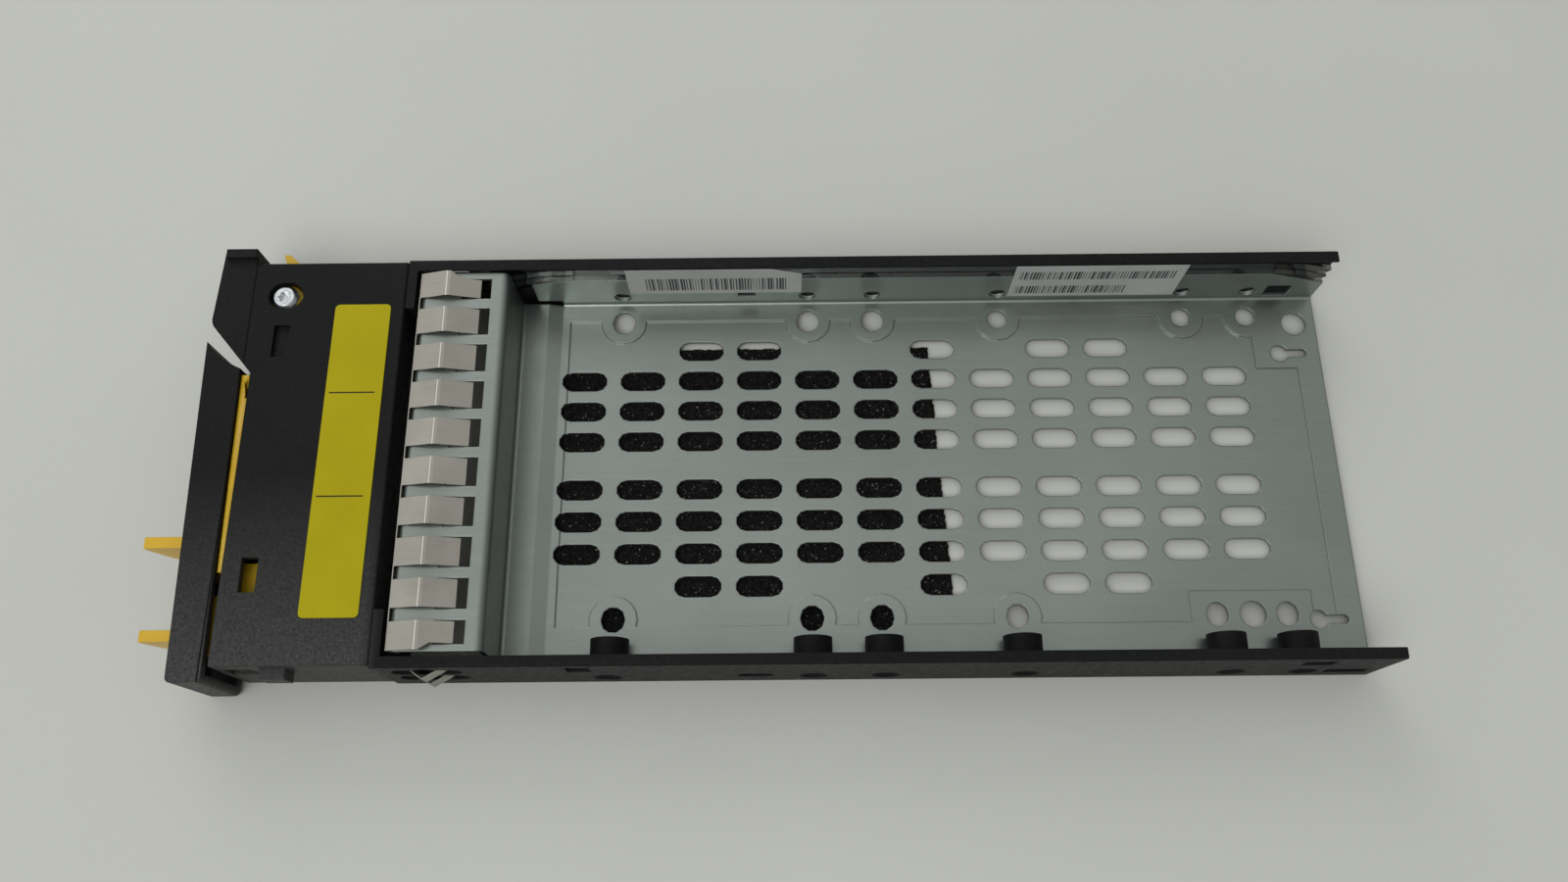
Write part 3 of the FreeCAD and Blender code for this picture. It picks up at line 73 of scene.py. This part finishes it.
class Look:
    """A material under construction; positions are metres in the row frame."""

    def __init__(self, name):
        self.mat = bpy.data.materials.new(name)
        self.mat.use_nodes = True
        self.tree = self.mat.node_tree
        self.shader = self.tree.nodes["Principled BSDF"]
        self.where = self.tree.nodes.new("ShaderNodeTexCoord").outputs["Object"]

    def add(self, kind, **values):
        node = self.tree.nodes.new(kind)
        for key, value in values.items():
            setattr(node, key, value)
        return node

    def feed(self, socket, value):
        """Link an output to a socket, or set a plain value."""
        if isinstance(value, bpy.types.NodeSocket):
            self.tree.links.new(value, socket)
        else:
            socket.default_value = value

    def set(self, **values):
        """Set shader inputs by name, with underscores for spaces."""
        for key, value in values.items():
            self.feed(self.shader.inputs[key.replace("_", " ")], value)

    def stretched(self, x, y, z):
        """Coordinates scaled on each axis, so that a pattern runs in lines."""
        mapping = self.add("ShaderNodeMapping")
        self.feed(mapping.inputs["Vector"], self.where)
        mapping.inputs["Scale"].default_value = (x, y, z)
        return mapping.outputs["Vector"]

    def noise(self, scale, detail=2.0, rough=0.5, stretch=None, offset=0.0):
        node = self.add("ShaderNodeTexNoise")
        self.feed(node.inputs["Vector"], self.stretched(*stretch) if stretch else self.where)
        node.inputs["Scale"].default_value = scale
        node.inputs["Detail"].default_value = detail
        node.inputs["Roughness"].default_value = rough
        if offset:
            node.noise_dimensions = "4D"
            node.inputs["W"].default_value = offset
        return node.outputs["Fac"]

    def cells(self, scale):
        node = self.add("ShaderNodeTexVoronoi")
        self.feed(node.inputs["Vector"], self.where)
        node.inputs["Scale"].default_value = scale
        return node.outputs["Distance"]

    def span(self, value, low, high, start=0.0, end=1.0):
        """Map low..high to start..end, held at both ends."""
        node = self.add("ShaderNodeMapRange")
        self.feed(node.inputs["Value"], value)
        limits = {"From Min": low, "From Max": high, "To Min": start, "To Max": end}
        for key, number in limits.items():
            node.inputs[key].default_value = number
        return node.outputs["Result"]

    def math(self, operation, a, b=0.0):
        node = self.add("ShaderNodeMath", operation=operation)
        self.feed(node.inputs[0], a)
        self.feed(node.inputs[1], b)
        return node.outputs["Value"]

    def mix(self, amount, a, b):
        node = self.add("ShaderNodeMix", data_type="RGBA")
        self.feed(node.inputs["Factor"], amount)
        self.feed(node.inputs["A"], a if isinstance(a, bpy.types.NodeSocket) else (*a, 1.0))
        self.feed(node.inputs["B"], b if isinstance(b, bpy.types.NodeSocket) else (*b, 1.0))
        return node.outputs["Result"]

    def axis(self, letter):
        node = self.add("ShaderNodeSeparateXYZ")
        self.feed(node.inputs[0], self.where)
        return node.outputs[letter]

    def inside(self, letter, low, high, soft=0.00003):
        """1 where a coordinate lies between two values, with a soft edge."""
        value = self.axis(letter)
        rise = self.span(value, low - soft, low + soft)
        fall = self.span(value, high - soft, high + soft, 1.0, 0.0)
        return self.math("MULTIPLY", rise, fall)

    def bars(self, letter, pitch):
        """1 on stripes of uneven width at an even pitch along an axis."""
        place = self.math("DIVIDE", self.axis(letter), pitch)
        chance = self.add("ShaderNodeTexWhiteNoise", noise_dimensions="1D")
        self.feed(chance.inputs["W"], self.math("FLOOR", place))
        width = self.span(chance.outputs["Value"], 0.0, 1.0, *STRIPE_SHARES)
        return self.math("LESS_THAN", self.math("FRACT", place), width)

    def edge_highlight_mask(self, reach):
        """1 within reach of an outer or inner edge, 0 on open faces."""
        bevel = self.add("ShaderNodeBevel", samples=BEVEL_SAMPLES)
        bevel.inputs["Radius"].default_value = reach
        flat = self.add("ShaderNodeNewGeometry")
        both = self.add("ShaderNodeVectorMath", operation="DOT_PRODUCT")
        self.feed(both.inputs[0], bevel.outputs["Normal"])
        self.feed(both.inputs[1], flat.outputs["Normal"])
        return self.span(both.outputs["Value"], 1.0 - HIGHLIGHT_START, 1.0 - HIGHLIGHT_FULL)

    def bump(self, *layers, edge=0.0):
        """Stack of (height, distance in metres) over an optional rounded edge."""
        normal = None
        if edge:
            bevel = self.add("ShaderNodeBevel", samples=BEVEL_SAMPLES)
            bevel.inputs["Radius"].default_value = edge
            normal = bevel.outputs["Normal"]
        for height, distance in layers:
            node = self.add("ShaderNodeBump")
            node.inputs["Distance"].default_value = distance
            self.feed(node.inputs["Height"], height)
            if normal is not None:
                self.feed(node.inputs["Normal"], normal)
            normal = node.outputs["Normal"]
        self.feed(self.shader.inputs["Normal"], normal)


# ------------------------------------------------------------------ materials


def make_tray_steel():
    look = Look("tray_steel")
    broad = look.noise(22, 3, 0.55)
    grain = look.noise(2600, 3, 0.6)
    rolled = look.noise(60, 3, 0.6, stretch=(1, 26, 26))
    tone = look.mix(look.span(broad, *MIDDLE), (0.245, 0.272, 0.252), (0.30, 0.33, 0.308))
    tone = look.mix(look.span(grain, 0.35, 0.7, 0.0, 0.35), tone, (0.22, 0.245, 0.228))
    tone = look.mix(look.span(rolled, 0.45, 0.75, 0.0, 0.2), tone, (0.34, 0.37, 0.35))
    rough = look.span(look.noise(300, 4, 0.6, offset=3.0), *MIDDLE, 0.29, 0.4)
    # painted highlight along edges and bends, broken up by the broad noise
    painted_edge_highlight = look.math("MULTIPLY", look.edge_highlight_mask(0.00035), look.span(broad, 0.35, 0.6))
    tone = look.mix(look.math("MULTIPLY", painted_edge_highlight, 0.15), tone, (0.42, 0.45, 0.43))
    look.set(Base_Color=tone, Metallic=0.88, Roughness=rough)
    look.bump((grain, 0.000006), (rolled, 0.00001), edge=0.00038)
    return look.mat


# the crease across the spring fingers, from their strip's middle, then its line of painted shade
# and its line of painted highlight
CREASE_SHIFT = -0.0003
CREASE_SHADE = (-0.0005, 0.0006)
CREASE_HIGHLIGHT = (-0.00025, -0.0001)


def make_spring_steel():
    look = Look("spring_steel")
    broad = look.noise(90, 3, 0.6)
    lines = look.noise(120, 2, 0.5, stretch=(1, 40, 1))
    tone = look.mix(look.span(broad, *MIDDLE), (0.34, 0.325, 0.285), (0.42, 0.40, 0.355))
    tone = look.mix(look.span(lines, 0.5, 0.8, 0.0, 0.4), tone, (0.5, 0.48, 0.43))
    low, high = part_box("emi_strip")
    ridge = (low.x + high.x) / 2 + CREASE_SHIFT
    # painted shade along the crease
    crease_shade = look.inside("X", ridge + CREASE_SHADE[0], ridge + CREASE_SHADE[1], 0.0001)
    tone = look.mix(look.math("MULTIPLY", crease_shade, 0.45), tone, (0.22, 0.215, 0.19))
    # painted highlight beside the crease
    crease_highlight = look.inside("X", ridge + CREASE_HIGHLIGHT[0], ridge + CREASE_HIGHLIGHT[1], 0.00008)
    tone = look.mix(crease_highlight, tone, (0.8, 0.78, 0.72))
    rough = look.span(look.noise(500, 3, 0.6, offset=5.0), *MIDDLE, 0.28, 0.4)
    look.set(Base_Color=tone, Metallic=0.9, Roughness=rough)
    look.bump((lines, 0.000008), edge=0.0001)
    return look.mat


# painted sheen, lighter on the near front of the housing and grip: where it starts and where it is
# full
SHEEN_X = (-0.0675, -0.0705)
SHEEN_Y = (-0.004, -0.040)
# the joint line between the bezel cap and the housing's top
JOINT_HALF_WIDTH, JOINT_DEPTH = 0.00016, 0.0002


def make_black_plastic():
    look = Look("black_plastic")
    grain = look.noise(1500, 5, 0.7)
    pits = look.cells(1300)
    broad = look.noise(35, 3, 0.6, offset=2.0)
    tone = look.mix(look.span(broad, 0.3, 0.75), (0.0045, 0.005, 0.0048), (0.008, 0.0085, 0.0082))
    tone = look.mix(look.span(grain, 0.5, 0.8, 0.0, 0.4), tone, (0.025, 0.026, 0.025))
    # painted sheen towards the near front, broken up by blotches
    sheen_area = look.math(
        "MULTIPLY",
        look.span(look.axis("X"), *SHEEN_X),
        look.span(look.axis("Y"), *SHEEN_Y),
    )
    blotch = look.span(look.noise(1900, 4, 0.7, offset=6.0), 0.4, 0.66)
    painted_sheen = look.math("MULTIPLY", sheen_area, look.span(blotch, 0.0, 1.0, 0.4, 1.0))
    tone = look.mix(painted_sheen, tone, (0.066, 0.067, 0.065))
    # painted highlight along the edges, broken up in patches by this noise
    highlight_breakup = look.span(look.noise(260, 3, 0.6, offset=8.0), 0.4, 0.7)
    painted_edge_highlight = look.math("MULTIPLY", look.edge_highlight_mask(0.0003), highlight_breakup)
    tone = look.mix(look.math("MULTIPLY", painted_edge_highlight, 0.6), tone, (0.045, 0.046, 0.045))
    joint_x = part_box("bezel_cap")[1].x
    joint = look.math(
        "MULTIPLY",
        look.inside("X", joint_x - JOINT_HALF_WIDTH, joint_x + JOINT_HALF_WIDTH, 0.00004),
        look.inside("Z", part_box("housing_cover")[1].z - JOINT_DEPTH, 1.0),
    )
    tone = look.mix(joint, tone, (0.001, 0.001, 0.001))
    rough = look.span(look.noise(700, 4, 0.6, offset=4.0), *MIDDLE, 0.42, 0.58)
    look.set(Base_Color=tone, Roughness=rough, Specular_IOR_Level=0.11)
    look.bump((grain, 0.00006), (pits, 0.00003), edge=0.00035)
    return look.mat


def make_amber_plastic():
    look = Look("amber_plastic")
    broad = look.noise(120, 3, 0.5)
    grain = look.noise(2500, 3, 0.6)
    tone = look.mix(look.span(broad, *MIDDLE), (0.55, 0.33, 0.008), (0.66, 0.42, 0.014))
    rough = look.span(look.noise(600, 3, 0.6, offset=1.0), *MIDDLE, 0.3, 0.42)
    look.set(Base_Color=tone, Roughness=rough)
    look.set(Subsurface_Weight=0.15, Subsurface_Radius=(0.002, 0.001, 0.0003), Subsurface_Scale=1.0)
    look.bump((grain, 0.00001), edge=0.0003)
    return look.mat


def make_clear_plastic():
    look = Look("clear_plastic")
    streak = look.noise(30, 2, 0.5, stretch=(1, 9, 9))
    tone = look.mix(look.span(streak, 0.35, 0.65), (0.10, 0.105, 0.10), (0.2, 0.21, 0.2))
    rough = look.span(streak, *MIDDLE, 0.02, 0.05)
    look.set(Base_Color=tone, Roughness=rough, IOR=1.49, Transmission_Weight=1.0)
    return look.mat


def make_zinc():
    look = Look("zinc")
    broad = look.noise(700, 3, 0.6)
    tone = look.mix(look.span(broad, *MIDDLE), (0.56, 0.58, 0.60), (0.74, 0.76, 0.78))
    rough = look.span(broad, *MIDDLE, 0.2, 0.34)
    look.set(Base_Color=tone, Metallic=1.0, Roughness=rough)
    look.bump((broad, 0.00002), edge=0.0002)
    return look.mat


# the front label's dark lines, as shares of its width, and its plain front and rear margins
LABEL_LINES = (0.3675, 0.701)
LINE_HALF_WIDTH = 0.00014
LABEL_MARGINS = (0.0007, 0.0014)


def make_yellow_label():
    look = Look("yellow_label")
    low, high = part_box("front_label")
    fibre = look.noise(1800, 3, 0.6)
    broad = look.noise(60, 3, 0.6)
    tone = look.mix(look.span(broad, *MIDDLE), (0.355, 0.3, 0.002), (0.4, 0.34, 0.003))
    tone = look.mix(look.span(fibre, 0.5, 0.8, 0.0, 0.15), tone, (0.28, 0.24, 0.005))
    across = look.inside("X", low.x + LABEL_MARGINS[0], high.x - LABEL_MARGINS[1])
    for share in LABEL_LINES:
        middle = low.y + (high.y - low.y) * share
        along = look.inside("Y", middle - LINE_HALF_WIDTH, middle + LINE_HALF_WIDTH)
        tone = look.mix(look.math("MULTIPLY", across, along), tone, (0.025, 0.022, 0.012))
    rough = look.span(fibre, *MIDDLE, 0.34, 0.44)
    look.set(Base_Color=tone, Roughness=rough, Specular_IOR_Level=0.12)
    look.bump((fibre, 0.000006), edge=0.0001)
    return look.mat


# plain stripes with nothing to read: the sticker, then the margins of a striped band at its
# front, rear, bottom and top
STRIPES = [
    ("part_label", 0.0036, 0.0031, 0.0014, 0.0036),
    ("serial_label", 0.0012, 0.0018, 0.0073, 0.0023),
    ("serial_label", 0.0012, 0.0105, 0.0013, 0.0083),
]
STRIPE_PITCH = 0.00058


def make_grey_label():
    look = Look("grey_label")
    fibre = look.noise(1500, 4, 0.6)
    broad = look.noise(80, 3, 0.6)
    tone = look.mix(look.span(broad, *MIDDLE), (0.40, 0.41, 0.40), (0.47, 0.48, 0.465))
    tone = look.mix(look.span(fibre, 0.5, 0.8, 0.0, 0.2), tone, (0.33, 0.34, 0.33))
    for name, front, rear, bottom, top in STRIPES:
        low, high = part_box(name)
        across = look.inside("X", low.x + front, high.x - rear)
        along = look.inside("Z", low.z + bottom, high.z - top)
        band = look.math("MULTIPLY", across, along)
        striped = look.math("MULTIPLY", band, look.bars("X", STRIPE_PITCH))
        tone = look.mix(striped, tone, (0.02, 0.02, 0.02))
    look.set(Base_Color=tone, Roughness=look.span(fibre, *MIDDLE, 0.4, 0.52))
    look.bump((fibre, 0.000008), edge=0.0001)
    return look.mat


def make_foam():
    look = Look("foam")
    cells = look.cells(1500)
    grit = look.noise(1900, 3, 0.7)
    # painted glints: light specks on the dark foam
    painted_glints = look.span(look.noise(2300, 2, 0.5, offset=7.0), 0.645, 0.72)
    tone = look.mix(look.span(cells, 0.1, 0.7), (0.008, 0.008, 0.0075), (0.002, 0.002, 0.002))
    tone = look.mix(painted_glints, tone, (0.17, 0.17, 0.155))
    rough = look.span(grit, *MIDDLE, 0.7, 0.95)
    look.set(Base_Color=tone, Roughness=rough, Specular_IOR_Level=0.1)
    look.bump((cells, 0.0002), (grit, 0.00015))
    return look.mat


MAKERS = {
    "tray_steel": make_tray_steel,
    "spring_steel": make_spring_steel,
    "black_plastic": make_black_plastic,
    "amber_plastic": make_amber_plastic,
    "clear_plastic": make_clear_plastic,
    "zinc": make_zinc,
    "yellow_label": make_yellow_label,
    "grey_label": make_grey_label,
    "foam": make_foam,
}
LOOKS = {slot: make() for slot, make in MAKERS.items()}
SLOT_OF = {item["node"]: item["material_slot"] for item in frame["record"]["subparts"]}

for name, obj in nodes.items():
    obj.data.materials.clear()
    obj.data.materials.append(LOOKS[SLOT_OF[name]])

# ------------------------------------------------------------------ pieces


def piece(name, mesh_maker, look, body):
    """A mesh in row coordinates that rides on a body."""
    mesh = bpy.data.meshes.new(name)
    cage = bmesh.new()
    mesh_maker(cage)
    cage.to_mesh(mesh)
    cage.free()
    obj = bpy.data.objects.new(name, mesh)
    bpy.context.scene.collection.objects.link(obj)
    mesh.materials.append(LOOKS[look])
    for face in mesh.polygons:
        face.use_smooth = True
    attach(obj, body)
    return obj


# how much shorter the pad is at its far side than at its near side
FOAM_SKEW = 0.003
FOAM_ROWS, FOAM_COLUMNS = 170, 176
# rows at the rear and columns at each side over which the edge is ragged
RAGGED_ROWS, RAGGED_COLUMNS = 4, 3
# mean depth in metres and noise scale of the fine and the broad raggedness, and of the face's dips
RAGGED_FINE, RAGGED_BROAD, PEBBLES = (0.0003, 1300), (0.00015, 350), (0.00009, 1100)
RIM_DIP = 0.00012


def uneven(spot, depth, scale):
    """Smooth noise around a mean depth, never below 0."""
    return depth * (1 + noise.noise(spot * scale))


def foam_mesh(cage):
    """A die-cut pad with an uneven, slanting rear edge and pebbled faces."""
    low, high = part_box("foam_pad")
    long_count, wide_count = FOAM_ROWS, FOAM_COLUMNS
    top, bottom = [], []
    for i in range(long_count + 1):
        upper, lower = [], []
        for j in range(wide_count + 1):
            u, v = i / long_count, j / wide_count
            x = low.x + (high.x - FOAM_SKEW * v - low.x) * u
            y = low.y + (high.y - low.y) * v
            spot = Vector((x, y, 0.0))
            ragged = uneven(spot, *RAGGED_FINE) + uneven(spot, *RAGGED_BROAD)
            if i > long_count - RAGGED_ROWS:
                x -= ragged * (i - long_count + RAGGED_ROWS) / RAGGED_ROWS
            if j > wide_count - RAGGED_COLUMNS:
                y -= ragged * (j - wide_count + RAGGED_COLUMNS) / RAGGED_COLUMNS
            if j < RAGGED_COLUMNS:
                y += ragged * (RAGGED_COLUMNS - j) / RAGGED_COLUMNS
            on_rim = i in (0, long_count) or j in (0, wide_count)
            dip = uneven(spot, *PEBBLES) + (RIM_DIP if on_rim else 0.0)
            upper.append(cage.verts.new((x, y, high.z - dip)))
            lower.append(cage.verts.new((x, y, low.z + dip)))
        top.append(upper)
        bottom.append(lower)
    for i in range(long_count):
        for j in range(wide_count):
            cage.faces.new((top[i][j], top[i + 1][j], top[i + 1][j + 1], top[i][j + 1]))
            cage.faces.new((bottom[i][j], bottom[i][j + 1], bottom[i + 1][j + 1], bottom[i + 1][j]))
    for j in range(wide_count):
        cage.faces.new((top[0][j], top[0][j + 1], bottom[0][j + 1], bottom[0][j]))
        cage.faces.new((top[-1][j + 1], top[-1][j], bottom[-1][j], bottom[-1][j + 1]))
    for i in range(long_count):
        cage.faces.new((top[i + 1][0], top[i][0], bottom[i][0], bottom[i + 1][0]))
        cage.faces.new((top[i][-1], top[i + 1][-1], bottom[i + 1][-1], bottom[i][-1]))


foam = piece("foam_sheet", foam_mesh, "foam", "carrier")
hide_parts("foam_pad")


def prism(cage, outline, bottom, top, chamfer):
    """An upright solid over an outline that runs counterclockwise, its top edge chamfered."""
    count = len(outline)
    middle = sum((Vector(point) for point in outline), Vector((0.0, 0.0))) / count
    rings = []
    for level, inset in ((bottom, 0.0), (top - chamfer, 0.0), (top, chamfer)):
        ring = []
        for point in outline:
            away = Vector(point) - middle
            away = Vector((math.copysign(inset, away.x), math.copysign(inset, away.y)))
            spot = Vector(point) - away
            ring.append(cage.verts.new((spot.x, spot.y, level)))
        rings.append(ring)
    cage.faces.new(reversed(rings[0]))
    cage.faces.new(rings[-1])
    for lower, upper in zip(rings, rings[1:]):
        for i in range(count):
            j = (i + 1) % count
            cage.faces.new((lower[i], lower[j], upper[j], upper[i]))


# the amber bar that shows between the grip and the housing; its width follows their gap
BAR_FRONT_FAR, BAR_FRONT_NEAR = -0.0987, -0.0979
BAR_REAR = -0.09705
BAR_FAR, BAR_NEAR = 0.0155, -0.0228
BAR_BOTTOM, BAR_TOP = 0.0124, 0.0172
BAR_NOTCH_FAR, BAR_NOTCH_NEAR, BAR_NOTCH_DEPTH = 0.0128, 0.0108, 0.0005
# its web, which reaches forward through the grip's open back to the lever
WEB_FRONT, WEB_REAR = -0.0994, -0.0981
WEB_FAR, WEB_NEAR, WEB_TOP = 0.0105, -0.0224, 0.0139
BAR_CHAMFER = 0.0001


def bar_mesh(cage):
    bar = [
        (BAR_FRONT_NEAR, BAR_NEAR),
        (BAR_REAR, BAR_NEAR),
        (BAR_REAR, BAR_NOTCH_NEAR),
        (BAR_REAR - BAR_NOTCH_DEPTH, BAR_NOTCH_NEAR),
        (BAR_REAR - BAR_NOTCH_DEPTH, BAR_NOTCH_FAR),
        (BAR_REAR, BAR_NOTCH_FAR),
        (BAR_REAR, BAR_FAR),
        (BAR_FRONT_FAR, BAR_FAR),
    ]
    prism(cage, bar, BAR_BOTTOM, BAR_TOP, BAR_CHAMFER)
    web = [
        (WEB_FRONT, WEB_NEAR),
        (WEB_REAR, WEB_NEAR),
        (WEB_REAR, WEB_FAR),
        (WEB_FRONT, WEB_FAR),
    ]
    prism(cage, web, BAR_BOTTOM, WEB_TOP, BAR_CHAMFER)


piece("lever_bar", bar_mesh, "amber_plastic", "handle")

# ------------------------------------------------------------------ floor, light, camera

FLOOR_HALF, FLOOR_CELLS = 40.0, 8
# name, place, aim, width and height, power, colour
LIGHTS = [
    ("key", (-0.5, 1.2, 0.75), (-0.05, 0.0, 0.0), (0.8, 0.8), 4.5, (1.0, 1.0, 0.98)),
    ("fill", (-0.5, -0.85, 1.35), (-0.05, 0.0, 0.0), (0.9, 0.9), 9.0, (0.99, 1.0, 0.98)),
]
# the world's colour at the horizon and overhead, and its gain from the front side to the rear
WORLD_LOW, WORLD_HIGH = (0.27, 0.28, 0.28, 1.0), (0.94, 0.95, 0.94, 1.0)
WORLD_HIGH_PLACE = 0.9
WORLD_SIDES = {"From Min": -0.7, "From Max": 0.7, "To Min": 1.25, "To Max": 0.5}
WORLD_STRENGTH = 0.9
# the photo's camera, fitted in row coordinates
LENS_MM, SENSOR_MM, CLIP_START = 28.618, 36.0, 0.01
CAMERA_PLACE = (0.004944, -0.076479, 0.235353)
CAMERA_RIGHT = (0.999946, -0.008132, -0.006437)
CAMERA_UP = (0.009819, 0.942141, 0.335082)
CAMERA_BACK = (0.003339, -0.335127, 0.942170)


def make_floor():
    look = Look("floor_card")
    fibre = look.noise(420, 4, 0.6)
    cloud = look.noise(7, 3, 0.5)
    tone = look.mix(look.span(cloud, *MIDDLE), (0.50, 0.505, 0.475), (0.53, 0.535, 0.505))
    tone = look.mix(look.span(fibre, 0.4, 0.8, 0.0, 0.06), tone, (0.45, 0.45, 0.43))
    look.set(Base_Color=tone, Roughness=look.span(fibre, *MIDDLE, 0.55, 0.65))
    mesh = bpy.data.meshes.new("floor")
    cage = bmesh.new()
    bmesh.ops.create_grid(cage, x_segments=FLOOR_CELLS, y_segments=FLOOR_CELLS, size=FLOOR_HALF)
    cage.to_mesh(mesh)
    cage.free()
    mesh.materials.append(look.mat)
    floor = bpy.data.objects.new("floor", mesh)
    floor.location.z = cad_low.z
    bpy.context.scene.collection.objects.link(floor)


def make_light(name, place, aim, size, power, colour):
    lamp = bpy.data.lights.new(name, "AREA")
    lamp.shape = "RECTANGLE"
    lamp.size, lamp.size_y = size
    lamp.energy = power
    lamp.color = colour
    obj = bpy.data.objects.new(name, lamp)
    obj.location = place
    obj.rotation_euler = (Vector(aim) - Vector(place)).to_track_quat("-Z", "Y").to_euler()
    bpy.context.scene.collection.objects.link(obj)


def make_world():
    world = bpy.data.worlds.new("studio")
    world.use_nodes = True
    tree = world.node_tree
    back = tree.nodes["Background"]
    where = tree.nodes.new("ShaderNodeTexCoord")
    split = tree.nodes.new("ShaderNodeSeparateXYZ")
    height = tree.nodes.new("ShaderNodeValToRGB")
    side = tree.nodes.new("ShaderNodeMapRange")
    blend = tree.nodes.new("ShaderNodeMix")
    blend.data_type = "RGBA"
    blend.blend_type = "MULTIPLY"
    blend.inputs["Factor"].default_value = 1.0
    tree.links.new(where.outputs["Generated"], split.inputs[0])
    tree.links.new(split.outputs["Z"], height.inputs["Fac"])
    tree.links.new(split.outputs["X"], side.inputs["Value"])
    for key, number in WORLD_SIDES.items():
        side.inputs[key].default_value = number
    low_end, high_end = height.color_ramp.elements
    low_end.position, low_end.color = 0.0, WORLD_LOW
    high_end.position, high_end.color = WORLD_HIGH_PLACE, WORLD_HIGH
    tree.links.new(height.outputs["Color"], blend.inputs["A"])
    tree.links.new(side.outputs["Result"], blend.inputs["B"])
    tree.links.new(blend.outputs["Result"], back.inputs["Color"])
    back.inputs["Strength"].default_value = WORLD_STRENGTH
    bpy.context.scene.world = world


def make_camera():
    lens = bpy.data.cameras.new("camera")
    lens.sensor_width = SENSOR_MM
    lens.lens = LENS_MM
    lens.clip_start = CLIP_START
    camera = bpy.data.objects.new("camera", lens)
    turn = Matrix((CAMERA_RIGHT, CAMERA_UP, CAMERA_BACK)).transposed().to_4x4()
    camera.matrix_world = Matrix.Translation(CAMERA_PLACE) @ turn
    bpy.context.scene.collection.objects.link(camera)
    bpy.context.scene.camera = camera


make_floor()
for light in LIGHTS:
    make_light(*light)
make_world()
make_camera()
bpy.context.scene.view_settings.view_transform = "Standard"
